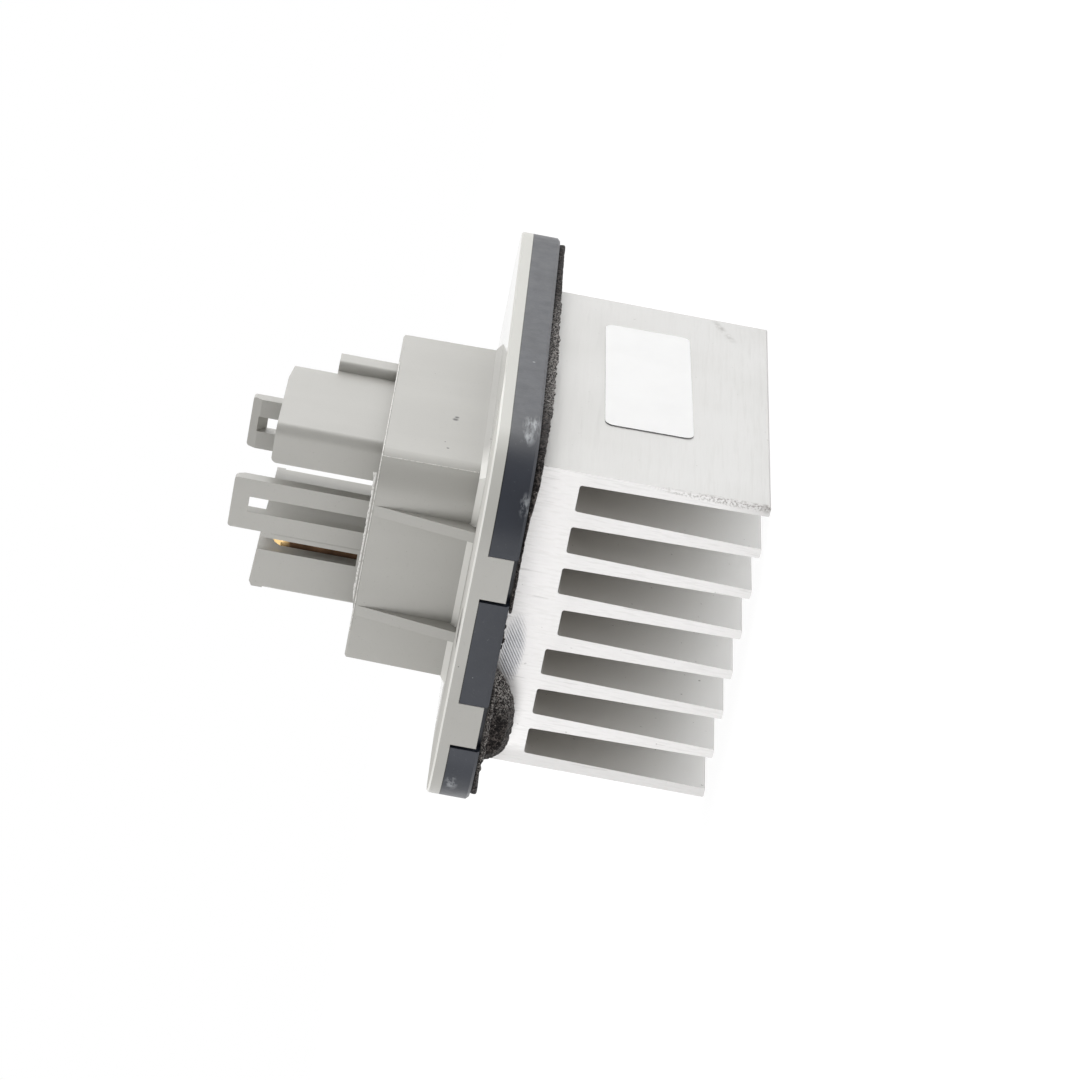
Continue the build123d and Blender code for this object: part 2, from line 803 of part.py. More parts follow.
# Control chip with a row of gull-wing legs on each side
with BuildPart() as chip:
    with BuildSketch(level(board_top + chip_standoff)):
        with Locations((chip_x, chip_y)):
            Rectangle(chip_width, chip_length)
    extrude(amount=chip_height)
    chamfer(chip.faces().sort_by(Axis.Z)[-1].edges(), 0.25)
    for side in (-1, 1):
        edge = chip_x + side * (chip_width / 2 - 0.2)
        knee = chip_x + side * (chip_width / 2 + 0.35)
        toe = chip_x + side * (chip_width / 2 + chip_leg_reach)
        shoulder = board_top + chip_standoff + chip_height * 0.5
        for index in range(chip_leg_count):
            y = chip_y + (index - (chip_leg_count - 1) / 2) * chip_leg_pitch + chip_leg_width / 2
            with BuildSketch(Plane.XZ.offset(-y)):
                with BuildLine():
                    Polyline(
                        (edge, shoulder),
                        (knee, shoulder),
                        (knee + side * chip_leg_thickness, board_top + chip_leg_thickness),
                        (toe, board_top + chip_leg_thickness),
                        (toe, board_top),
                        (knee, board_top),
                        (knee - side * chip_leg_thickness, shoulder - chip_leg_thickness),
                        (edge, shoulder - chip_leg_thickness),
                        close=True,
                    )
                make_face()
            extrude(amount=chip_leg_width)
write(chip, "control_chip")


# Freewheel diode in a moulded block with wrapped feet
with BuildPart() as diode:
    with BuildSketch(level(board_top + 0.1)):
        with Locations((diode_x, diode_y)):
            Rectangle(diode_length, diode_width)
    extrude(amount=diode_height)
    chamfer(diode.faces().sort_by(Axis.Z)[-1].edges(), 0.35)
    for side in (-1, 1):
        with BuildSketch(level(board_top)):
            with Locations((diode_x + side * (diode_length / 2 - 0.2), diode_y)):
                Rectangle(diode_foot + 0.4, diode_width * 0.5)
        extrude(amount=diode_height * 0.5)
write(diode, "freewheel_diode")


# Current shunt: a bent metal strip standing on two feet
with BuildPart() as shunt:
    with BuildSketch(Plane.XZ.offset(-shunt_y - shunt_width / 2)):
        with BuildLine():
            half = shunt_length / 2
            step = 1.4
            low = board_top
            Polyline(
                (shunt_x - half, low),
                (shunt_x - half + step, low),
                (shunt_x - half + step, low + shunt_height - shunt_thickness),
                (shunt_x + half - step, low + shunt_height - shunt_thickness),
                (shunt_x + half - step, low),
                (shunt_x + half, low),
                (shunt_x + half, low + shunt_thickness),
                (shunt_x + half - step + shunt_thickness, low + shunt_thickness),
                (shunt_x + half - step + shunt_thickness, low + shunt_height),
                (shunt_x - half + step - shunt_thickness, low + shunt_height),
                (shunt_x - half + step - shunt_thickness, low + shunt_thickness),
                (shunt_x - half, low + shunt_thickness),
                close=True,
            )
        make_face()
    extrude(amount=shunt_width)
write(shunt, "current_shunt")


def chip_part(x, y, long, wide, tall):
    """A ceramic block along Y whose two ends are wrapped in solderable caps."""
    with BuildPart() as block:
        with BuildSketch(level(board_top + cap_proud)):
            with Locations((x, y)):
                Rectangle(wide - 2 * cap_proud, long - 2 * cap_wrap)
        extrude(amount=tall - 2 * cap_proud)
        for end in (-1, 1):
            with BuildSketch(level(board_top)):
                with Locations((x, y + end * (long - cap_wrap) / 2)):
                    Rectangle(wide, cap_wrap)
            extrude(amount=tall)
    return block


for index in range(resistor_count):
    place = resistor_y + index * resistor_pitch
    resistor = chip_part(resistor_x, place, resistor_length, resistor_width, resistor_height)
    write(resistor, f"chip_resistor_{index + 1}")

for index in range(capacitor_count):
    place = capacitor_y + index * capacitor_pitch
    capacitor = chip_part(capacitor_x, place, capacitor_length, capacitor_width, capacitor_height)
    write(capacitor, f"chip_capacitor_{index + 1}")
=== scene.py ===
import math

import bpy
import numpy as np
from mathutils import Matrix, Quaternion, Vector


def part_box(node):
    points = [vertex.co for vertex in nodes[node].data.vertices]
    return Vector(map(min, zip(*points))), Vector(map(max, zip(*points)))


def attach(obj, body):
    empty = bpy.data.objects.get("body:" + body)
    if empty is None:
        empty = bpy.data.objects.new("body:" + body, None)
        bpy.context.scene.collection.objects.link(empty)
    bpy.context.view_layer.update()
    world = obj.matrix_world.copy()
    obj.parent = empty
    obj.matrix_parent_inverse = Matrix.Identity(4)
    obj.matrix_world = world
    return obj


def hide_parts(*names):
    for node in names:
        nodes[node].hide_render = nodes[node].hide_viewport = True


# Blower motor resistor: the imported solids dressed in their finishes, with a porous foam gasket,
# foam crumbs beside its tear and the mould flash of the housing as pieces of their own.
# Metres. X runs across the fins towards the sticker, Y along the fins away from the near end,
# and Z from the fin tips towards the plug sockets.

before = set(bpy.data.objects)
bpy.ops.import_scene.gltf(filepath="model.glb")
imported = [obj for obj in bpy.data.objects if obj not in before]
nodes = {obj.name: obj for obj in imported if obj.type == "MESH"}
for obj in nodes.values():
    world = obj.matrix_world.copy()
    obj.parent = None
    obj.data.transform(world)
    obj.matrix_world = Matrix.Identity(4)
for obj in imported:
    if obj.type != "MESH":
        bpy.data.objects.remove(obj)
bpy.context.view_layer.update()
MM = 0.001
X, Y, Z = range(3)

# Places read from the frame
sink_low, sink_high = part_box("heat_sink")
rim_low, rim_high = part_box("seal_frame")
near_face = sink_low[Y]
wing_side = sink_high[X]
foam_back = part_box("foam_gasket")[1][Z]
blade_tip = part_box("power_blade_near")[1][Z]
outer_fin_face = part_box("blank_sticker")[0][X]
last_fin_face = -outer_fin_face

# The box of the housing: its top edge, its foot, its draft and its soft corner
box_side = 12.11 * MM
box_far = 14.68 * MM
box_near = -20.04 * MM
box_round = 3.86 * MM
box_rim = 41.6 * MM
box_foot = 30.9 * MM
box_lean = 0.0122

# A distance past either end of the flange, for bands that have no end there
beyond = 40 * MM


class NodeTree:
    """Short calls that add nodes to a node tree and join them."""

    def __init__(self, tree):
        self.tree = tree

    def put(self, socket, value):
        """Joins another node's output to a socket, or sets the socket to a plain value. A colour
        of three numbers becomes opaque."""
        if isinstance(value, bpy.types.NodeSocket):
            self.tree.links.new(value, socket)
        elif hasattr(socket.default_value, "__len__") and len(socket.default_value) > len(value):
            socket.default_value = (*value, 1)
        else:
            socket.default_value = value

    def node(self, kind, inputs=None, **settings):
        """Adds a node with settings and inputs."""
        made = self.tree.nodes.new(kind)
        for key, value in settings.items():
            setattr(made, key, value)
        for key, value in (inputs or {}).items():
            self.put(made.inputs[key], value)
        return made

    def add(self, kind, inputs=None, out=0, **settings):
        """Adds a node with settings and inputs, and returns one of its outputs."""
        return self.node(kind, inputs, **settings).outputs[out]

    def math(self, operation, first, second=0.0):
        """A sum, product or other function of one or two values."""
        return self.add("ShaderNodeMath", {0: first, 1: second}, operation=operation)

    def vector(self, operation, first, second, out="Vector"):
        """A function of two vectors, either a vector or a plain value."""
        inputs = {0: first, 1: second}
        return self.add("ShaderNodeVectorMath", inputs, out=out, operation=operation)

    def times(self, first, *others):
        """The product of several values."""
        for other in others:
            first = self.math("MULTIPLY", first, other)
        return first

    def strongest(self, values):
        """The greatest of several values."""
        best = values[0]
        for value in values[1:]:
            best = self.math("MAXIMUM", best, value)
        return best

    def between(self, share, first, second):
        """A number between two numbers."""
        return self.add("ShaderNodeMix", {0: share, 2: first, 3: second})

    def mix(self, share, first, second):
        """A colour between two colours."""
        return self.add("ShaderNodeMix", {0: share, 6: first, 7: second}, out=2, data_type="RGBA")

    def range(self, value, low, high, to_low=0.0, to_high=1.0, **settings):
        """A value moved from one range to another, and held at the ends of the new one."""
        inputs = {0: value, 1: low, 2: high, 3: to_low, 4: to_high}
        return self.add("ShaderNodeMapRange", inputs, **settings)


class Finish(NodeTree):
    """A material under construction, with patterns and masks that lie fixed on the object."""

    def __init__(self, name, **sockets):
        self.material = bpy.data.materials.new(name)
        self.material.use_nodes = True
        super().__init__(self.material.node_tree)
        self.shader = self.tree.nodes["Principled BSDF"]
        self.place = self.add("ShaderNodeTexCoord", out="Object")
        for socket, value in sockets.items():
            self.put(self.shader.inputs[socket.replace("_", " ")], value)

    def stretched(self, scale):
        """Object coordinates multiplied by one factor per axis, which stretches a pattern."""
        return self.vector("MULTIPLY", self.place, scale)

    def noise(self, scale, detail, rough, along=None):
        """Cloudy noise between 0 and 1, about scale blotches per metre."""
        vector = along or self.place
        inputs = {"Vector": vector, "Scale": scale, "Detail": detail, "Roughness": rough}
        return self.add("ShaderNodeTexNoise", inputs)

    def level(self, axis):
        """The coordinate of a point along an axis."""
        return self.add("ShaderNodeSeparateXYZ", {0: self.place}, out=axis)

    def slab(self, axis, low, high, fade):
        """1 between two levels of an axis, fading to 0 over a distance at both ends."""
        value = self.level(axis)
        up = self.range(value, low - fade, low)
        down = self.range(value, high, high + fade, 1, 0)
        return self.times(up, down)

    def ball(self, centre, radius, soft, squash=(1, 1, 1)):
        """1 inside a ball round a point, fading to 0 over the soft share of its radius. A squash
        below 1 along an axis lengthens the ball along it."""
        middle = tuple(np.multiply(centre, squash))
        far = self.vector("DISTANCE", self.stretched(squash), middle, out="Value")
        return self.range(far, radius * (1 - soft), radius * (1 + soft), 1, 0)

    def specks(self, places):
        """1 inside small round specks, given as x, y, z and radius in millimetres."""
        soft = 0.4
        return self.strongest([
            self.ball((x * MM, y * MM, z * MM), radius * MM, soft) for x, y, z, radius in places
        ])

    def across(self, centre, direction):
        """The distance of a point from a plane through the centre, square to the direction."""
        offset = self.vector("SUBTRACT", self.place, tuple(centre))
        return self.math("ABSOLUTE", self.vector("DOT_PRODUCT", offset, direction, out="Value"))

    def facing(self, axis):
        """How squarely a face points along an axis, either way: 1 on faces square to it."""
        normal = self.add("ShaderNodeNewGeometry", out="True Normal")
        return self.math("ABSOLUTE", self.add("ShaderNodeSeparateXYZ", {0: normal}, out=axis))

    def relief(self, height, depth, under=None):
        """A bump of that height pattern, depth metres deep, over an earlier bump."""
        inputs = {"Height": height, "Distance": depth, "Strength": 1.0}
        if under is not None:
            inputs["Normal"] = under
        return self.add("ShaderNodeBump", inputs)

    def finish(self, colour=None, roughness=None, normal=None):
        """Joins the worked out colour, roughness and normal to the shader."""
        worked_out = {"Base Color": colour, "Roughness": roughness, "Normal": normal}
        for socket, value in worked_out.items():
            if value is not None:
                self.put(self.shader.inputs[socket], value)
        return self.material


# Dark specks in the moulding: x, y, z and radius, in millimetres
moulding_specks = [
    (12.15, -6.0, 34.34, 0.30),
    (12.15, -5.4, 34.20, 0.24),
    (12.2, -13.69, 34.7, 0.14),
    (12.2, -12.2, 35.1, 0.08),
    (12.2, 5.3, 37.4, 0.06),
    (13.0, -10.8, 30.2, 0.16),
    (-3.9, -21.0, 30.75, 0.14),
    (6.4, -20.2, 35.1, 0.07),
    (-2.0, -36.45, 29.6, 0.06),
]


def moulding_finish():
    """Warm grey moulded plastic with a fine grain, faint flow marks and a few dark specks. The back
    of the flange is glossier, from the polished face of its mould, and frosted at the near end.
    Painted light makes the flange's edge paler on the sticker's side, and the slope round the box's
    foot, the bevelled edge and the back of the flange paler at the near end."""
    f = Finish("moulded_grey_plastic")
    flow = f.range(f.noise(90, 3, 0.5, f.stretched((1, 1, 0.35))), 0.35, 0.7)
    colour = f.mix(flow, (0.472, 0.464, 0.436), (0.515, 0.507, 0.477))
    grain = f.range(f.noise(2600, 4, 0.6), 0.60, 0.74, 0, 0.16)
    colour = f.mix(grain, colour, (0.33, 0.32, 0.29))
    grit = f.noise(5200, 2, 0.5)
    colour = f.mix(f.range(grit, 0.72, 0.76, 0, 0.5), colour, (0.30, 0.29, 0.26))
    # Painted light: the flange's edge is painted paler on the sticker's side, where the light falls
    long_edge = f.slab(X, 19 * MM, 23 * MM, 6 * MM)
    painted_lit_edge = f.times(f.slab(Z, 28.8 * MM, 30.3 * MM, 0.1 * MM), long_edge)
    colour = f.mix(painted_lit_edge, colour, (0.61, 0.605, 0.565))
    # Painted light: the slope round the box's foot and the flange's bevelled edge are painted pale
    # at the near end, where they catch the light
    level = f.facing(Z)
    slope = f.times(f.range(level, 0.4, 0.6), f.range(level, 0.90, 0.98, 1, 0))
    near_end = f.slab(Y, -beyond, -17 * MM, 5 * MM)
    painted_pale_slope = f.times(slope, near_end, f.slab(Z, 29.9 * MM, 30.9 * MM, 0.05 * MM))
    colour = f.mix(painted_pale_slope, colour, (0.84, 0.83, 0.79))
    specks = f.range(f.specks(moulding_specks), 0, 1, 0, 0.9)
    colour = f.mix(specks, colour, (0.035, 0.032, 0.03))
    # The back of the flange: polished along the box and frosted at the near end, where it is also
    # painted paler as painted light
    back = f.times(f.range(level, 0.9, 0.99), f.slab(Z, 29 * MM, 30.6 * MM, 0.2 * MM))
    polished = f.times(back, f.slab(Y, -14 * MM, beyond, 12 * MM))
    frosted_and_painted_pale = f.times(back, f.slab(Y, -beyond, -27 * MM, 12 * MM))
    # Painted light: the frosted near end of the flange's back is painted paler
    colour = f.mix(f.times(frosted_and_painted_pale, 0.6), colour, (0.60, 0.59, 0.555))
    worn = f.range(f.noise(300, 6, 0.7, f.stretched((1, 0.4, 2.2))), 0.62, 0.80)
    roughness = f.between(polished, f.range(worn, 0, 1, 0.36, 0.50), 0.07)
    roughness = f.between(frosted_and_painted_pale, roughness, 0.95)
    matt = f.math("SUBTRACT", 1.0, polished)
    normal = f.relief(f.times(grit, matt), 0.010 * MM)
    normal = f.relief(f.times(f.noise(160, 2, 0.5), matt), 0.05 * MM, normal)
    return f.finish(colour, roughness, normal)


def flash_finish():
    """The pale, torn plastic of mould flash and burrs, greyer low on the ribbon along the box's
    top edge."""
    f = Finish("pale_mould_flash", Roughness=0.45)
    grain = f.noise(3200, 3, 0.6)
    colour = f.mix(f.range(grain, 0.36, 0.52), (0.62, 0.61, 0.58), (0.90, 0.89, 0.86))
    low = f.slab(Z, box_rim + 0.07 * MM, box_rim + 0.22 * MM, 0.03 * MM)
    colour = f.mix(f.times(low, 0.85), colour, (0.42, 0.41, 0.385))
    return f.finish(colour, None, f.relief(grain, 0.02 * MM))


# Dark specks on the frame: x, y, z and radius, in millimetres
frame_specks = [
    (21.85, -8.41, 27.15, 0.14),
    (9.0, -36.4, 26.4, 0.10),
    (-3.0, -36.4, 27.9, 0.07),
]


def frame_finish():
    """Dark slate plastic with a soft sheen, pale scuffs at its soft corner and a few specks. The
    seam against the flange is painted darker, as a painted shadow of the gap there."""
    f = Finish("dark_slate_plastic")
    cloud = f.range(f.noise(120, 4, 0.5), 0.35, 0.7)
    colour = f.mix(cloud, (0.015, 0.019, 0.029), (0.023, 0.028, 0.042))
    dust = f.range(f.noise(3000, 3, 0.6), 0.66, 0.76, 0, 0.35)
    colour = f.mix(dust, colour, (0.12, 0.125, 0.13))
    # Scuffs: middle, radius and squash. They are broken up by streaks.
    side, end = rim_high[X], rim_low[Y]
    scuffs = [
        ((side, end + 11.6 * MM, 26.45 * MM), 0.75 * MM, (1, 0.45, 1)),
        ((side, end + 8.6 * MM, 26.9 * MM), 0.6 * MM, (1, 0.5, 1)),
        ((side - 4.5 * MM, end + 1.5 * MM, 26.05 * MM), 0.42 * MM, (0.45, 0.5, 1)),
        ((-17.3 * MM, end + 0.9 * MM, 27.9 * MM), 0.5 * MM, (0.4, 0.6, 1)),
    ]
    soft = 0.7
    scuffed = f.strongest([
        f.ball(middle, radius, soft, squash) for middle, radius, squash in scuffs
    ])
    streaks = f.range(f.noise(1300, 4, 0.65, f.stretched((1, 0.28, 1.5))), 0.44, 0.60)
    scuffed = f.times(scuffed, streaks)
    pale = f.strongest([scuffed, f.times(f.specks(frame_specks), 0.6)])
    colour = f.mix(f.times(pale, 0.8), colour, (0.40, 0.42, 0.44))
    # Painted shadow: a dark line along the seam against the flange, for the gap there
    painted_seam_shadow = f.slab(Z, rim_high[Z] - 0.09 * MM, rim_high[Z] + 1 * MM, 0.05 * MM)
    colour = f.mix(f.times(painted_seam_shadow, 0.9), colour, (0.006, 0.005, 0.004))
    roughness = f.range(f.noise(700, 5, 0.65), 0.35, 0.7, 0.30, 0.42)
    normal = f.relief(f.noise(3800, 2, 0.5), 0.010 * MM)
    return f.finish(colour, roughness, f.relief(scuffed, 0.03 * MM, normal))


def bare_aluminium(f, ends, height):
    """The metal's colour: paler at the tips of the fins than at their roots, and paler still on the
    cut ends, which are darker at the tip of the first fin. Painted light makes the cut ends paler
    towards the roots, and painted shade makes the last fin's cut end darker."""
    cloud = f.range(f.noise(60, 3, 0.5), 0.3, 0.7)
    tips = f.mix(cloud, (0.560, 0.556, 0.545), (0.600, 0.597, 0.590))
    roots = f.mix(cloud, (0.500, 0.496, 0.484), (0.540, 0.536, 0.528))
    sides = f.mix(f.range(height, 2 * MM, 22 * MM), tips, roots)
    cut = f.mix(cloud, (0.720, 0.711, 0.704), (0.755, 0.747, 0.743))
    # Painted light: the cut ends are painted paler towards the roots, against the shade of the foam
    # and the flange
    cut = f.mix(f.range(height, 19 * MM, 23 * MM), cut, (0.90, 0.890, 0.884))
    # Painted shade: the last fin's cut end is painted darker; the tip of the first fin is darker
    # too
    last_fin = f.slab(X, last_fin_face - 1 * MM, last_fin_face + 1.3 * MM, 1 * MM)
    first_tip = f.ball((outer_fin_face, near_face, 0), 3.2 * MM, 0.7)
    painted_shade_and_dark_tip = f.strongest([f.times(last_fin, 0.75), f.times(first_tip, 0.9)])
    return f.mix(ends, sides, f.mix(painted_shade_and_dark_tip, cut, (0.60, 0.592, 0.585)))


def file_marks(f, ends):
    """The filed patch on the near end, where the foam is torn away, and the slanting grooves in
    it: the troughs of a sine wave across them."""
    groove_spacing = 0.285 * MM
    slant = f.vector("DOT_PRODUCT", f.place, (0.536, 0, -0.844), out="Value")
    wave = f.math("SINE", f.times(slant, 2 * math.pi / groove_spacing))
    patch = f.ball((-4.3 * MM, near_face, 23.9 * MM), 1.1 * MM, 0.30, (0.30, 1, 1))
    patch = f.times(patch, ends, f.range(f.noise(900, 3, 0.5), 0.22, 0.50, 0.55, 1))
    return patch, f.times(patch, f.range(wave, -0.5, 0.7))


def dark_marks(f):
    """Pits along the outer fin's free corner and at its tip, sparse specks, a fold beside the
    frame and one rubbed mark on the outer face."""
    corner_middle = (outer_fin_face - 0.15 * MM, near_face, 2.5 * MM)
    corner = f.ball(corner_middle, 0.42 * MM, 0.5, (1, 0.8, 0.055))
    pits = f.times(corner, f.range(f.noise(4300, 3, 0.6), 0.50, 0.58))
    tip = f.ball((outer_fin_face, near_face, 0.3 * MM), 0.55 * MM, 0.6, (1, 0.7, 1))
    tip = f.times(tip, f.range(f.noise(1900, 4, 0.6), 0.40, 0.55))
    dots = f.range(f.noise(1500, 2, 0.5), 0.735, 0.77)
    fold = f.ball((outer_fin_face + 0.2 * MM, near_face, 24.2 * MM), 0.2 * MM, 0.5)
    rub_middle = (outer_fin_face, 19.0 * MM, 5.2 * MM)
    streak = f.range(f.across(rub_middle, (0, -0.42, 0.91)), 0.2 * MM, 0.6 * MM, 1, 0)
    outer_face = f.slab(X, outer_fin_face - 0.1 * MM, outer_fin_face + 1 * MM, 0.1 * MM)
    patchy = f.range(f.noise(900, 4, 0.6), 0.42, 0.6)
    rub = f.times(f.ball(rub_middle, 2.4 * MM, 0.35), streak, outer_face, patchy)
    marks = ((pits, 0.60), (tip, 0.7), (dots, 0.35), (fold, 0.6), (rub, 0.35))
    return f.strongest([f.times(mark, share) for mark, share in marks])


def aluminium_finish():
    """Satin aluminium: drawing lines along the fins, saw lines on the cut ends, matt slot walls
    with painted shade towards their roots, file marks, scratches and dark specks."""
    f = Finish("extruded_aluminium", Metallic=1.0)
    height = f.level(Z)
    ends = f.range(f.facing(Y), 0.75, 0.95)
    drawn = f.noise(1, 4, 0.65, f.stretched((3300, 120, 3300)))
    sawn = f.noise(1, 4, 0.6, f.stretched((3400, 3400, 430)))
    lines = f.between(ends, drawn, sawn)
    colour = bare_aluminium(f, ends, height)
    colour = f.mix(f.range(lines, 0.34, 0.52, 0.29, 0), colour, (0.44, 0.435, 0.42))
    # Painted shade on the walls of the slots: pale at their mouths and darker towards their roots,
    # where less light reaches
    inside = f.slab(X, last_fin_face + 0.5 * MM, outer_fin_face - 0.5 * MM, 0.1 * MM)
    walls = f.times(f.range(f.facing(X), 0.8, 0.95), inside)
    painted_root_shade = f.range(height, 3 * MM, 19 * MM)
    colour = f.mix(walls, colour, f.mix(painted_root_shade, (0.93, 0.928, 0.92), (0.69, 0.673, 0.645)))
    patch, grooves = file_marks(f, ends)
    colour = f.mix(f.times(patch, 0.35), colour, (0.58, 0.60, 0.65))
    colour = f.mix(f.times(grooves, 0.52), colour, (0.22, 0.23, 0.27))
    # Scratches on the cut ends: fine, nearly along the saw lines
    scratch = f.noise(1, 2, 0.5, f.stretched((2100, 2100, 150)))
    scratched = f.times(f.range(scratch, 0.675, 0.70), ends)
    colour = f.mix(f.times(scratched, 0.35), colour, (0.42, 0.41, 0.40))
    colour = f.mix(dark_marks(f), colour, (0.15, 0.135, 0.12))
    roughness = f.between(walls, f.range(lines, 0.3, 0.7, 0.46, 0.58), 0.78)
    normal = f.relief(lines, 0.012 * MM)
    return f.finish(colour, roughness, f.relief(f.times(grooves, -1), 0.03 * MM, normal))


def foam_finish():
    """Open foam: dark cells between dusty brown walls, darker where the pores are deep."""
    f = Finish("dark_open_foam", Roughness=0.95, Sheen_Weight=0.15, Specular_IOR_Level=0.15)
    pattern = {"Vector": f.place, "Scale": 3000}
    cells = f.add("ShaderNodeTexVoronoi", pattern, feature="DISTANCE_TO_EDGE")
    walls = f.range(cells, 0.03, 0.16, 1, 0)
    broken = f.range(f.noise(2600, 4, 0.6), 0.42, 0.62)
    colour = f.mix(f.times(walls, broken), (0.015, 0.013, 0.013), (0.155, 0.135, 0.125))
    dusty = f.range(f.noise(260, 3, 0.6), 0.50, 0.72, 0, 0.55)
    colour = f.mix(f.times(dusty, broken), colour, (0.21, 0.185, 0.165))
    # Torn cells, paler with dust, on the swollen long side, on top of the bulge and on its edge
    long_side = f.slab(X, 18.4 * MM, 23 * MM, 0.4 * MM)
    swollen = f.times(long_side, f.slab(Y, -16 * MM, 7 * MM, 6 * MM))
    bulge_top = f.ball((-7.3 * MM, -28.0 * MM, 24.2 * MM), 2.3 * MM, 0.5, (0.8, 0.5, 1))
    near_edge = f.slab(Y, -37 * MM, -35.2 * MM, 0.5 * MM)
    edge = f.times(f.slab(X, -17.5 * MM, -5 * MM, 2 * MM), near_edge)
    places = ((swollen, 0.85), (bulge_top, 1.0), (edge, 0.5))
    torn = f.strongest([f.times(place, share) for place, share in places])
    torn = f.times(torn, f.range(f.noise(5200, 3, 0.6), 0.49, 0.60))
    colour = f.mix(torn, colour, (0.43, 0.41, 0.39))
    glints = f.range(f.noise(5200, 2, 0.5), 0.70, 0.74)
    colour = f.mix(f.times(glints, 0.8), colour, (0.5, 0.47, 0.44))
    normal = f.relief(cells, 0.12 * MM)
    return f.finish(colour, None, f.relief(f.noise(1800, 4, 0.6), 0.1 * MM, normal))


def sticker_finish():
    """Bare white film, a little waved, with a painted grey shadow along its edges."""
    f = Finish("white_sticker_film", Coat_Weight=0.15)
    cloud = f.range(f.noise(240, 3, 0.5), 0.3, 0.7)
    colour = f.mix(cloud, (0.94, 0.94, 0.935), (0.97, 0.97, 0.965))
    # Painted shadow: the sticker's edges are painted grey
    edge = f.math("SUBTRACT", 1.0, f.facing(X))
    colour = f.mix(f.range(edge, 0.3, 0.9, 0, 0.85), colour, (0.16, 0.155, 0.15))
    roughness = f.range(f.noise(900, 4, 0.6), 0.3, 0.7, 0.34, 0.48)
    return f.finish(colour, roughness, f.relief(f.noise(140, 2, 0.4), 0.08 * MM))


def copper_finish():
    """Copper alloy with patchy tarnish, painted dark along the blade as painted shade, and smoother
    and painted bright at its tip as painted light.
    """
    f = Finish("tarnished_copper_painted_light", Metallic=1.0)
    ragged = f.math("ADD", f.level(Z), f.times(f.noise(900, 3, 0.5), 0.8 * MM))
    # Painted light on the tip, and painted shade along the rest of the blade, where it lies in its
    # slot
    painted_lit_tip = f.range(ragged, blade_tip - 1.6 * MM, blade_tip - 0.5 * MM)
    tarnish = f.range(f.noise(500, 4, 0.6), 0.35, 0.65)
    body = f.mix(tarnish, (0.058, 0.034, 0.021), (0.130, 0.074, 0.043))
    colour = f.mix(painted_lit_tip, body, (0.98, 0.68, 0.31))
    drawn = f.noise(1, 4, 0.6, f.stretched((4000, 4000, 200)))
    return f.finish(colour, f.range(painted_lit_tip, 0, 1, 0.46, 0.24), f.relief(drawn, 0.01 * MM))


def board_finish():
    """Green solder mask over a faint glass weave, with paler copper shapes under it."""
    f = Finish("green_circuit_board")
    cells = f.add("ShaderNodeTexVoronoi", {"Vector": f.place, "Scale": 420}, feature="F1")
    tracks = f.range(cells, 0.35, 0.38)
    colour = f.mix(tracks, (0.035, 0.20, 0.09), (0.02, 0.13, 0.06))
    pattern = {"Vector": f.place, "Scale": 900, "Distortion": 1.5}
    weave = f.add("ShaderNodeTexWave", pattern)
    colour = f.mix(f.times(weave, 0.15), colour, (0.2, 0.3, 0.12))
    return f.finish(colour, 0.35, f.relief(tracks, 0.03 * MM))


def epoxy_finish():
    """Black moulded epoxy with a sandy surface."""
    f = Finish("black_epoxy")
    grain = f.noise(4200, 4, 0.6)
    colour = f.mix(f.range(grain, 0.4, 0.7), (0.018, 0.018, 0.019), (0.045, 0.045, 0.047))
    return f.finish(colour, f.range(grain, 0.3, 0.7, 0.5, 0.68), f.relief(grain, 0.02 * MM))


def steel_finish():
    """Zinc plated steel, slightly clouded."""
    f = Finish("plated_steel", Metallic=1.0)
    cloud = f.noise(700, 4, 0.6)
    colour = f.mix(f.range(cloud, 0.35, 0.65), (0.50, 0.50, 0.50), (0.66, 0.66, 0.64))
    normal = f.relief(f.noise(3000, 3, 0.5), 0.008 * MM)
    return f.finish(colour, f.range(cloud, 0.3, 0.7, 0.28, 0.42), normal)


def ceramic_finish():
    """Matt brown ceramic, slightly clouded."""
    f = Finish("brown_ceramic")
    cloud = f.noise(1600, 3, 0.6)
    colour = f.mix(f.range(cloud, 0.35, 0.65), (0.33, 0.24, 0.15), (0.42, 0.32, 0.21))
    return f.finish(colour, f.range(cloud, 0.3, 0.7, 0.42, 0.55), f.relief(cloud, 0.01 * MM))


def pad_finish():
    """Grey heat conducting rubber with a faint glass cloth pattern."""
    f = Finish("grey_heat_pad", Roughness=0.8)
    pattern = {"Vector": f.place, "Scale": 1100, "Distortion": 0.8}
    cloth = f.add("ShaderNodeTexWave", pattern)
    colour = f.mix(f.range(cloth, 0.2, 0.8), (0.46, 0.47, 0.49), (0.54, 0.55, 0.57))
    return f.finish(colour, None, f.relief(cloth, 0.02 * MM))


def dress_nodes(finishes):
    """Gives each solid of the frame the finish that the start of its name calls for."""
    for name, solid in nodes.items():
        for start, finish in finishes.items():
            if name.startswith(start):
                solid.data.materials.clear()
                solid.data.materials.append(finish)


# Whole numbers that scatter the cells of the noise below
cell_factors = (73856093, 19349663, 83492791)
hash_factor = 1274126177


def hashed(cells):
    """A repeatable number from -1 to 1 for each whole-number cell in space."""
    x, y, z = (cells[..., axis] * factor for axis, factor in enumerate(cell_factors))
    mixed = x ^ y ^ z
    mixed = (mixed ^ (mixed >> 13)) * hash_factor & 0x7FFFFFFF
    return (mixed ^ (mixed >> 16)) % 65536 / 32768.0 - 1.0


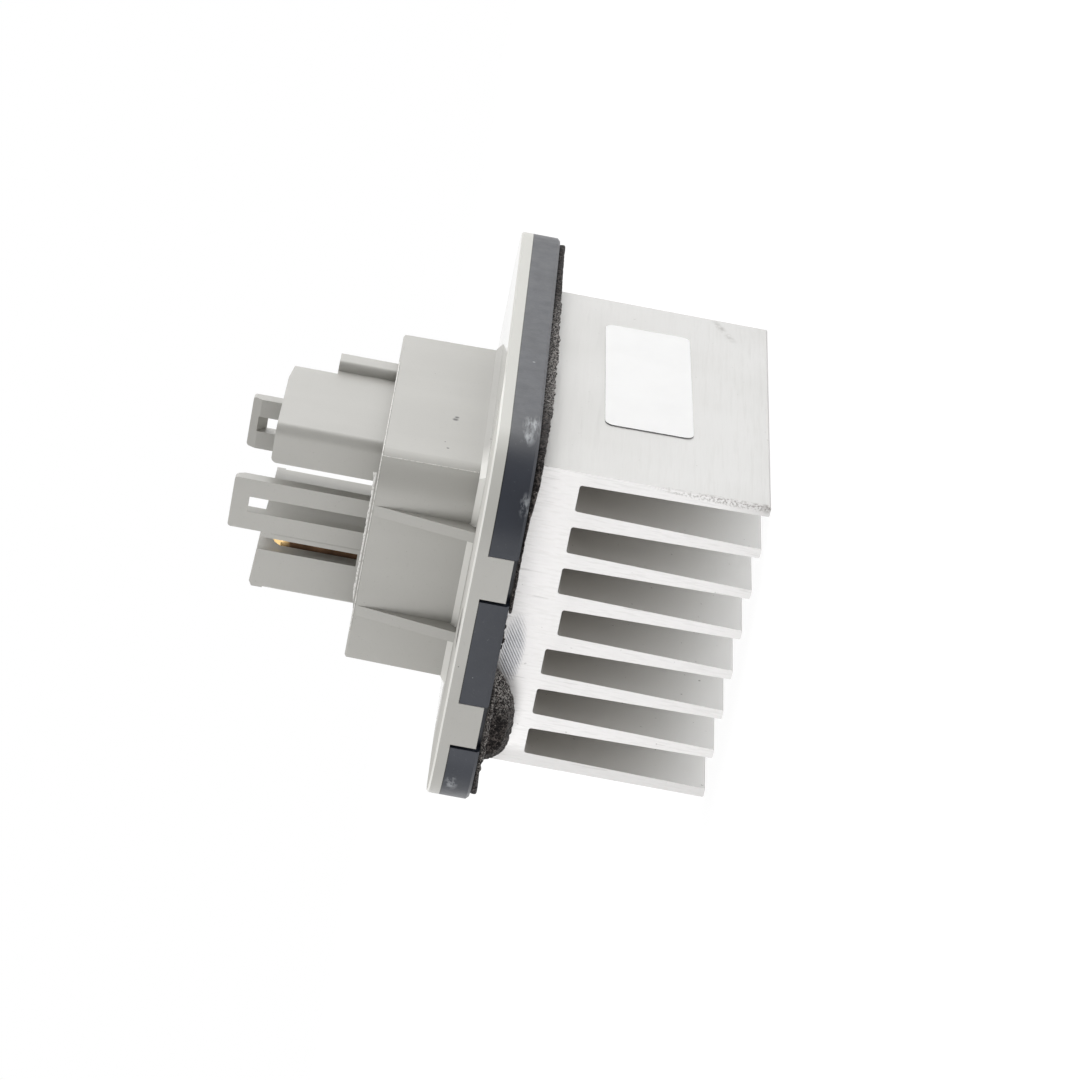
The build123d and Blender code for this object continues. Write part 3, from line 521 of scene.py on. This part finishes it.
def cloud_noise(points, size):
    """Smooth noise from -1 to 1: each cell's corners have random heights, blended by an S curve."""
    scaled = points / size
    base = np.floor(scaled).astype(np.int64)
    part = scaled - base
    part = part * part * (3 - 2 * part)
    total = np.zeros(len(points))
    for corner in np.ndindex(2, 2, 2):
        share = np.prod(np.where(corner, part, 1 - part), axis=1)
        total += share * hashed(base + np.array(corner))
    return total


def plateau(values, middle, half):
    """1 round the middle, dropping smoothly to 0 about a half length from it: e to the power of
    minus the fourth power of the distance in half lengths."""
    return np.exp(-(((values - middle) / half) ** 4))


def mesh_piece(name, points, faces, finish):
    """A smooth mesh object at the origin from points and faces, riding on the body."""
    mesh = bpy.data.meshes.new(name)
    mesh.from_pydata(points.tolist(), [], faces)
    mesh.materials.append(finish)
    mesh.shade_smooth()
    piece = bpy.data.objects.new(name, mesh)
    bpy.context.scene.collection.objects.link(piece)
    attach(piece, "root")
    return piece


def read_points(mesh, field="co"):
    """A vector of each vertex of a mesh, its place or its normal, as rows of an array."""
    values = np.empty(len(mesh.vertices) * 3)
    mesh.vertices.foreach_get(field, values)
    return values.reshape(-1, 3)


def relaxed(points, edges, rounds, share):
    """Points drawn towards the mean of their neighbours, which rounds off edges."""
    count = np.bincount(edges.ravel(), minlength=len(points))[:, None]
    for _ in range(rounds):
        total = np.zeros_like(points)
        np.add.at(total, edges[:, 0], points[edges[:, 1]])
        np.add.at(total, edges[:, 1], points[edges[:, 0]])
        points = points + share * (total / np.maximum(count, 1) - points)
    return points


def ring_corners(rings, sides):
    """Indices of the four corners of each patch between neighbouring rings of points: a point, the
    next one round its ring, and those two on the next ring."""
    row, column = np.meshgrid(np.arange(rings - 1), np.arange(sides), indexing="ij")
    here = row * sides + column
    beside = row * sides + (column + 1) % sides
    return here, beside, here + sides, beside + sides


def quad_list(*corners):
    """Faces of four corners each, from the corners' indices."""
    return np.stack(corners, axis=-1).reshape(-1, 4).tolist()


# Foam gasket: the grid it is remeshed on, its rounding, its pores and its lumps
foam_merge = 0.002 * MM
foam_voxel = 0.19 * MM
foam_rounds = 3
foam_round_share = 0.5
foam_pore_size = 0.34 * MM
foam_pore_depth = 0.15 * MM
foam_pore_level = 0.15
foam_lump_size = 2.6 * MM
foam_lump_depth = 0.10 * MM
# The layer of foam at the frame that stays flat
foam_seat = 0.15 * MM
# Where the foam's long side has swollen into a fluffy edge
fluff_middle = -8.0 * MM
fluff_half = 19.5 * MM
fluff_height = 0.62 * MM
fluff_width = 1.5 * MM
# Where the gasket's near edge sags beside its bulge
sag_middle = -11.5 * MM
sag_half = 6.5 * MM
sag_height = 0.40 * MM
sag_start = -34.6 * MM
sag_width = 0.5 * MM


def foam_points(points, normals):
    """Where the points of the rounded gasket go. Each moves along its normal by slow lumps plus
    small pores, where a pore is the part of fine noise below a level. The swollen long side and
    the sagging near edge then grow away from the frame in tufts of noise. Nothing moves where
    the foam meets the frame."""
    lumps = cloud_noise(points, foam_lump_size) * foam_lump_depth
    fine = cloud_noise(points, foam_pore_size) + 0.5 * cloud_noise(points, foam_pore_size * 0.5)
    pores = (np.minimum(fine, foam_pore_level) - foam_pore_level) * foam_pore_depth
    free = np.clip((foam_back - points[:, Z]) / foam_seat, 0, 1)
    points = points + normals * ((lumps + pores) * free)[:, None]
    along = plateau(points[:, Y], fluff_middle, fluff_half)
    outside = np.clip((points[:, X] - wing_side) / fluff_width, 0, 1)
    tufts = 0.6 + 0.3 * cloud_noise(points, 0.3 * MM) + 0.15 * cloud_noise(points, 1.1 * MM)
    points[:, Z] -= fluff_height * along * outside * tufts * free
    along = plateau(points[:, X], sag_middle, sag_half)
    outside = np.clip((sag_start - points[:, Y]) / sag_width, 0, 1)
    tufts = 0.5 + 0.5 * cloud_noise(points, 0.5 * MM)
    points[:, Z] -= sag_height * along * outside * tufts * free
    points[:, Z] = np.minimum(points[:, Z], foam_back)
    return points


def foam_piece(finish):
    """The gasket's solid, remeshed finely, rounded, and given its lumps, pores and tufts."""
    piece = bpy.data.objects.new("foam_ring", nodes["foam_gasket"].data.copy())
    bpy.context.scene.collection.objects.link(piece)
    merge = piece.modifiers.new("merge", "WELD")
    merge.merge_threshold = foam_merge
    remesh = piece.modifiers.new("remesh", "REMESH")
    remesh.mode = "VOXEL"
    remesh.voxel_size = foam_voxel
    remeshed = piece.evaluated_get(bpy.context.evaluated_depsgraph_get())
    shaped = bpy.data.meshes.new_from_object(remeshed)
    piece.modifiers.clear()
    piece.data = shaped
    shaped.name = "foam_ring"
    edges = np.empty(len(shaped.edges) * 2, dtype=np.int32)
    shaped.edges.foreach_get("vertices", edges)
    edges = edges.reshape(-1, 2)
    points = relaxed(read_points(shaped), edges, foam_rounds, foam_round_share)
    shaped.vertices.foreach_set("co", points.ravel())
    shaped.update()
    points = foam_points(points, read_points(shaped, "normal"))
    shaped.vertices.foreach_set("co", points.ravel())
    shaped.update()
    shaped.shade_smooth()
    shaped.materials.clear()
    shaped.materials.append(finish)
    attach(piece, "root")
    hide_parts("foam_gasket")


def ball_grid(rows, columns):
    """Unit ball: rings of latitude, with one point at each pole and faces outwards."""
    latitudes = np.linspace(0, math.pi, rows)[1:-1]
    longitudes = np.arange(columns) * 2 * math.pi / columns
    up, round_ = np.meshgrid(latitudes, longitudes, indexing="ij")
    rings = [np.sin(up) * np.cos(round_), np.sin(up) * np.sin(round_), np.cos(up)]
    points = np.vstack([np.stack(rings, axis=-1).reshape(-1, 3), [[0, 0, 1], [0, 0, -1]]])
    here, beside, below, below_beside = ring_corners(rows - 2, columns)
    top, bottom = len(points) - 2, len(points) - 1
    last_ring = (rows - 3) * columns
    caps = [(top, a, (a + 1) % columns) for a in range(columns)]
    caps += [(bottom, last_ring + (a + 1) % columns, last_ring + a) for a in range(columns)]
    return points, [*quad_list(here, below, below_beside, beside), *caps]


# Crumbs of foam left on the frame where the gasket is torn: x, y and radius, in millimetres
crumbs = [
    (3.3, -30.9, 0.34),
    (2.2, -33.6, 0.22),
    (1.0, -29.2, 0.30),
    (0.2, -34.5, 0.20),
    (0.9, -34.3, 0.30),
    (-0.2, -27.6, 0.24),
    (2.9, -28.0, 0.20),
    (-1.6, -28.4, 0.42),
    (1.8, -35.2, 0.16),
    (-2.6, -27.3, 0.34),
]
crumb_shape = (1.2, 1.0, 0.6)
crumb_roughness = 0.35
crumb_lump_size = 0.55
crumb_sink = 0.45


def crumb_pieces(finish):
    """Each crumb is a ball, pressed flat and pushed in and out by noise, that sits on the frame's
    front. Its back is cut off level with the front."""
    front = rim_low[Z]
    ball, faces = ball_grid(12, 16)
    for index, (x, y, size) in enumerate(crumbs):
        radius = size * MM
        middle = np.array([x * MM, y * MM, front - radius * crumb_sink])
        # Each crumb reads the noise from another place
        lumps = cloud_noise(ball + index * 7.3, crumb_lump_size)
        shape = ball * (1 + crumb_roughness * lumps)[:, None]
        points = middle + shape * radius * np.array(crumb_shape)
        points[:, Z] = np.minimum(points[:, Z], front)
        piece = mesh_piece(f"foam_crumb_{index + 1}", points, faces, finish)


def ring_skin(rings):
    """The closed skin over a row of rings: quads between neighbours and a fan at each end."""
    count, sides = rings.shape[:2]
    here, beside, ahead, ahead_beside = ring_corners(count, sides)
    points = np.vstack([rings.reshape(-1, 3), rings[0].mean(axis=0), rings[-1].mean(axis=0)])
    first, last = len(points) - 2, len(points) - 1
    last_ring = (count - 1) * sides
    caps = [(first, (a + 1) % sides, a) for a in range(sides)]
    caps += [(last, last_ring + a, last_ring + (a + 1) % sides) for a in range(sides)]
    return points, [*quad_list(here, beside, ahead_beside, ahead), *caps]


def swept(path, radii, sides=8):
    """A round thread along a path: at each point a ring of the local radius, square to the path,
    closed by a fan at each end."""
    ahead = np.gradient(path, axis=0)
    ahead /= np.linalg.norm(ahead, axis=1)[:, None]
    side = np.cross(ahead, [0.0, 0.0, 1.0])
    upright = np.linalg.norm(side, axis=1) < 1e-3
    side[upright] = [1.0, 0.0, 0.0]
    side /= np.linalg.norm(side, axis=1)[:, None]
    other = np.cross(ahead, side)
    turn = (np.arange(sides) * 2 * math.pi / sides)[None, :, None]
    ring = side[:, None] * np.cos(turn) + other[:, None] * np.sin(turn)
    return ring_skin(path[:, None] + ring * radii[:, None, None])


def rim_path(start, stop, count):
    """The top edge of the box seen from above, count points between two distances along it. It
    runs down the side, round a quarter circle at the soft corner and along the near edge."""
    straight = box_far - (box_near + box_round)
    bend = box_round * math.pi / 2
    run = np.linspace(start, stop, count)
    turn = np.clip((run - straight) / box_round, 0, math.pi / 2)
    past_bend = np.maximum(run - straight - bend, 0)
    x = box_side - box_round * (1 - np.cos(turn)) - past_bend
    y = box_far - np.minimum(run, straight) - box_round * np.sin(turn)
    return np.stack([x, y, np.full(count, box_rim)], axis=1)


def corner_path(count):
    """The parting line up the box's soft corner, from its foot to its top edge. It leans in with
    the draft of the box."""
    heights = box_foot + (box_rim - box_foot) * np.linspace(0, 1, count)
    lean = box_lean * (box_rim - heights)
    parting = math.radians(parting_angle)
    x = box_side - box_round * (1 - math.cos(parting)) + lean * math.cos(parting)
    y = box_near + box_round * (1 - math.sin(parting)) - lean * math.sin(parting)
    return np.stack([x, y, heights], axis=1)


def bent_path(bends, count):
    """Points along straight runs between bends, with the same number of points in each run."""
    bends = np.array(bends)
    at = np.linspace(0, len(bends) - 1, count)
    steps = np.arange(len(bends))
    return np.stack([np.interp(at, steps, bends[:, axis]) for axis in range(3)], axis=1)


def standing_ribbon(path, heights, thickness):
    """A thin wall standing up from a path, its outer side on the path, with a bead along its top.
    Each station is a closed profile of six points, wider at the bead than below it."""
    ahead = np.gradient(path, axis=0)
    inward = np.stack([ahead[:, Y], -ahead[:, X]], axis=1)
    inward /= np.linalg.norm(inward, axis=1)[:, None]
    across = np.array([0.0, 0.3, 0.0, 0.5, 1.2, 0.9]) * thickness
    share = np.array([0.0, 0.7, 0.93, 1.0, 0.93, 0.0])
    points = np.repeat(path[:, None], len(across), axis=1)
    points[:, :, :Z] += inward[:, None] * across[None, :, None]
    points[:, :, Z] += heights[:, None] * share[None]
    return ring_skin(points)


# Threads of mould flash: radius, how much it wanders and over what length, in millimetres
rim_thread = (0.065, 0.020, 0.6)
corner_thread = (0.055, 0.022, 0.9)
rib_thread = (0.065, 0.055, 0.25)
thinnest_radius = 0.008
# Where the threads run: between two distances along the top edge, at an angle in degrees round the
# soft corner, and down from the ribs' feet through bends whose places are in millimetres
rim_run = (8 * MM, 54 * MM)
rim_points = 420
parting_angle = 24
thread_points = 60
rib_sides = (6.825, -5.575)
rib_bends = [(0, -20.15, 30.92), (0.1, -20.9, 30.36), (0.8, -22.1, 30.30)]
# The ragged wall on the top edge: where it runs, its height and thickness in millimetres, and how
# it starts higher and ends lower, over shares of its length
burr_run = (34.6 * MM, 51.2 * MM)
burr_points = 360
burr_height = 0.33
burr_foot = 0.1
burr_thickness = 0.10
burr_ragged = 0.05
burr_start_height = 0.25
burr_start_share = 0.03
burr_end_share = 0.12
burr_end_least = 0.1


def flash_pieces(finish):
    """Hairs of mould flash: along the top edge of the box, up its soft corner and at the feet of
    the ribs, each a thread whose radius wanders with noise."""
    threads = {
        "rim_flash": (rim_path(*rim_run, rim_points), rim_thread),
        "corner_flash": (corner_path(thread_points), corner_thread),
    }
    for index, rib_side in enumerate(rib_sides):
        bends = np.array(rib_bends) + (rib_side, 0, 0)
        threads[f"rib_burr_{index + 1}"] = (bent_path(bends, thread_points) * MM, rib_thread)
    for name, (path, (radius, wander, size)) in threads.items():
        radii = np.maximum(radius + wander * cloud_noise(path, size * MM), thinnest_radius) * MM
        points, faces = swept(path, radii)
        mesh_piece(name, points, faces, finish)


def burr_piece(finish):
    """A low ragged wall on the near side of the box's top edge. Its height is a level plus coarse
    and fine noise, with a peak at its start and a slope down to its end."""
    path = rim_path(*burr_run, burr_points)
    ragged = burr_ragged * cloud_noise(path, 0.6 * MM) + burr_ragged * cloud_noise(path, 0.16 * MM)
    run = np.linspace(0, 1, burr_points)
    peak = burr_start_height * np.exp(-((run / burr_start_share) ** 2))
    slope = np.clip((1 - run) / burr_end_share, burr_end_least, 1)
    heights = ((burr_height + ragged + peak) * slope + burr_foot) * MM
    points, faces = standing_ribbon(path, heights, burr_thickness * MM)
    mesh_piece("rim_burr", points, faces, finish)


# The point inside the object that every lamp is aimed at
lamp_aim = (0, 0, 0.03)


def area_lamp(name, place, size, power):
    """A round lamp with a diameter in metres and a power in watts."""
    lamp = bpy.data.lights.new(name, "AREA")
    lamp.shape = "DISK"
    lamp.size = size
    lamp.energy = power
    lamp_object = bpy.data.objects.new(name, lamp)
    lamp_object.location = place
    look = Vector(lamp_aim) - Vector(place)
    lamp_object.rotation_euler = look.to_track_quat("-Z", "Y").to_euler()
    bpy.context.scene.collection.objects.link(lamp_object)


# The white surround: its light, the side on which it is open and how much darker it is there, and
# where the opening's edge starts and ends, as cosines of the angle from its middle
world_fill = 0.77
world_shade = 0.82
open_side = (0.669, -0.743, 0.0)
opening_edge = (0.20, 0.80)


def white_world():
    """A white surround, seen as plain white and lighting the object with the fill. It is darker by
    the shade round its open side, for lighting and for reflections."""
    world = bpy.data.worlds.new("white_surround")
    world.use_nodes = True
    n = NodeTree(world.node_tree)
    direction = n.add("ShaderNodeTexCoord", out="Generated")
    towards = n.vector("DOT_PRODUCT", direction, open_side, out="Value")
    shaded = (1.0, 1 - world_shade)
    opening = n.range(towards, *opening_edge, *shaded, interpolation_type="SMOOTHSTEP")
    lit = n.times(opening, world_fill)
    rays = n.node("ShaderNodeLightPath").outputs
    glossy = n.between(rays["Is Glossy Ray"], lit, opening)
    seen = n.strongest([rays["Is Camera Ray"], rays["Is Transmission Ray"]])
    background = n.tree.nodes["Background"]
    n.put(background.inputs["Strength"], n.between(seen, glossy, 1.0))
    n.put(background.inputs["Color"], (1, 1, 1))
    bpy.context.scene.world = world


floor_half = 3.0
floor_white = (0.86, 0.86, 0.86)
floor_glow = 1.12
floor_glow_share = 0.8


def pale_floor():
    """A wide matt white floor. Camera, glossy and transmission rays see it mostly as a white glow,
    and the rest of it keeps part of the object's shadow."""
    half = floor_half
    corners = [(-half, -half, 0), (half, -half, 0), (half, half, 0), (-half, half, 0)]
    mesh = bpy.data.meshes.new("pale_floor")
    mesh.from_pydata(corners, [], [(0, 1, 2, 3)])
    material = bpy.data.materials.new("pale_floor")
    material.use_nodes = True
    n = NodeTree(material.node_tree)
    shader = n.tree.nodes["Principled BSDF"]
    surface = {"Base Color": floor_white, "Roughness": 0.9, "Specular IOR Level": 0.1}
    for socket, value in surface.items():
        n.put(shader.inputs[socket], value)
    rays = n.node("ShaderNodeLightPath").outputs
    seen = n.strongest([rays[f"Is {kind} Ray"] for kind in ("Camera", "Glossy", "Transmission")])
    glow = n.add("ShaderNodeEmission", {"Strength": floor_glow})
    share = n.times(seen, floor_glow_share)
    blend = n.add("ShaderNodeMixShader", {0: share, 1: shader.outputs[0], 2: glow})
    n.put(n.tree.nodes["Material Output"].inputs["Surface"], blend)
    mesh.materials.append(material)
    floor = bpy.data.objects.new("pale_floor", mesh)
    bpy.context.scene.collection.objects.link(floor)


# The photograph's camera: its place, a point on its axis, its turn about that axis in degrees, and
# its lens for a square sensor in millimetres
camera_place = (0.1951, -0.40325, 0.04129)
camera_aim = (0.00087, -0.00889, 0.02257)
camera_roll = -79.48
camera_lens = 131.24
camera_sensor = 36


def photograph_camera():
    """The camera that sees the object as the photograph does."""
    data = bpy.data.cameras.new("photograph_camera")
    data.sensor_width = camera_sensor
    data.sensor_height = camera_sensor
    data.lens = camera_lens
    data.clip_start = 0.02
    camera = bpy.data.objects.new("photograph_camera", data)
    camera.location = camera_place
    look = (Vector(camera_aim) - Vector(camera_place)).to_track_quat("-Z", "Y")
    camera.rotation_mode = "QUATERNION"
    camera.rotation_quaternion = look @ Quaternion((0, 0, 1), math.radians(camera_roll))
    bpy.context.scene.collection.objects.link(camera)
    bpy.context.scene.camera = camera


moulding = moulding_finish()
foam = foam_finish()
steel = steel_finish()
copper = copper_finish()
epoxy = epoxy_finish()
aluminium = aluminium_finish()
dress_nodes({
    "heat_sink": aluminium,
    "filter_capacitor": aluminium,
    "housing": moulding,
    "seal_frame": frame_finish(),
    "foam_gasket": foam,
    "blank_sticker": sticker_finish(),
    "power_blade": copper,
    "signal_pin": copper,
    "circuit_board": board_finish(),
    "board_screws": steel,
    "clamp_screw": steel,
    "spring_washer": steel,
    "current_shunt": steel,
    "power_transistor": epoxy,
    "control_chip": epoxy,
    "freewheel_diode": epoxy,
    "chip_resistor": epoxy,
    "chip_capacitor": ceramic_finish(),
    "insulating_pad": pad_finish(),
})
foam_piece(foam)
crumb_pieces(foam)
flash = flash_finish()
flash_pieces(flash)
burr_piece(flash)

white_world()
pale_floor()
area_lamp("side_softbox", (0.56, 0.56, 0.30), 1.0, 4.6)
area_lamp("end_softbox", (-0.30, -0.70, 0.16), 0.7, 1.75)
area_lamp("top_softbox", (0, 0.1, 0.8), 0.6, 1.3)
photograph_camera()
bpy.context.scene.view_settings.view_transform = "Standard"
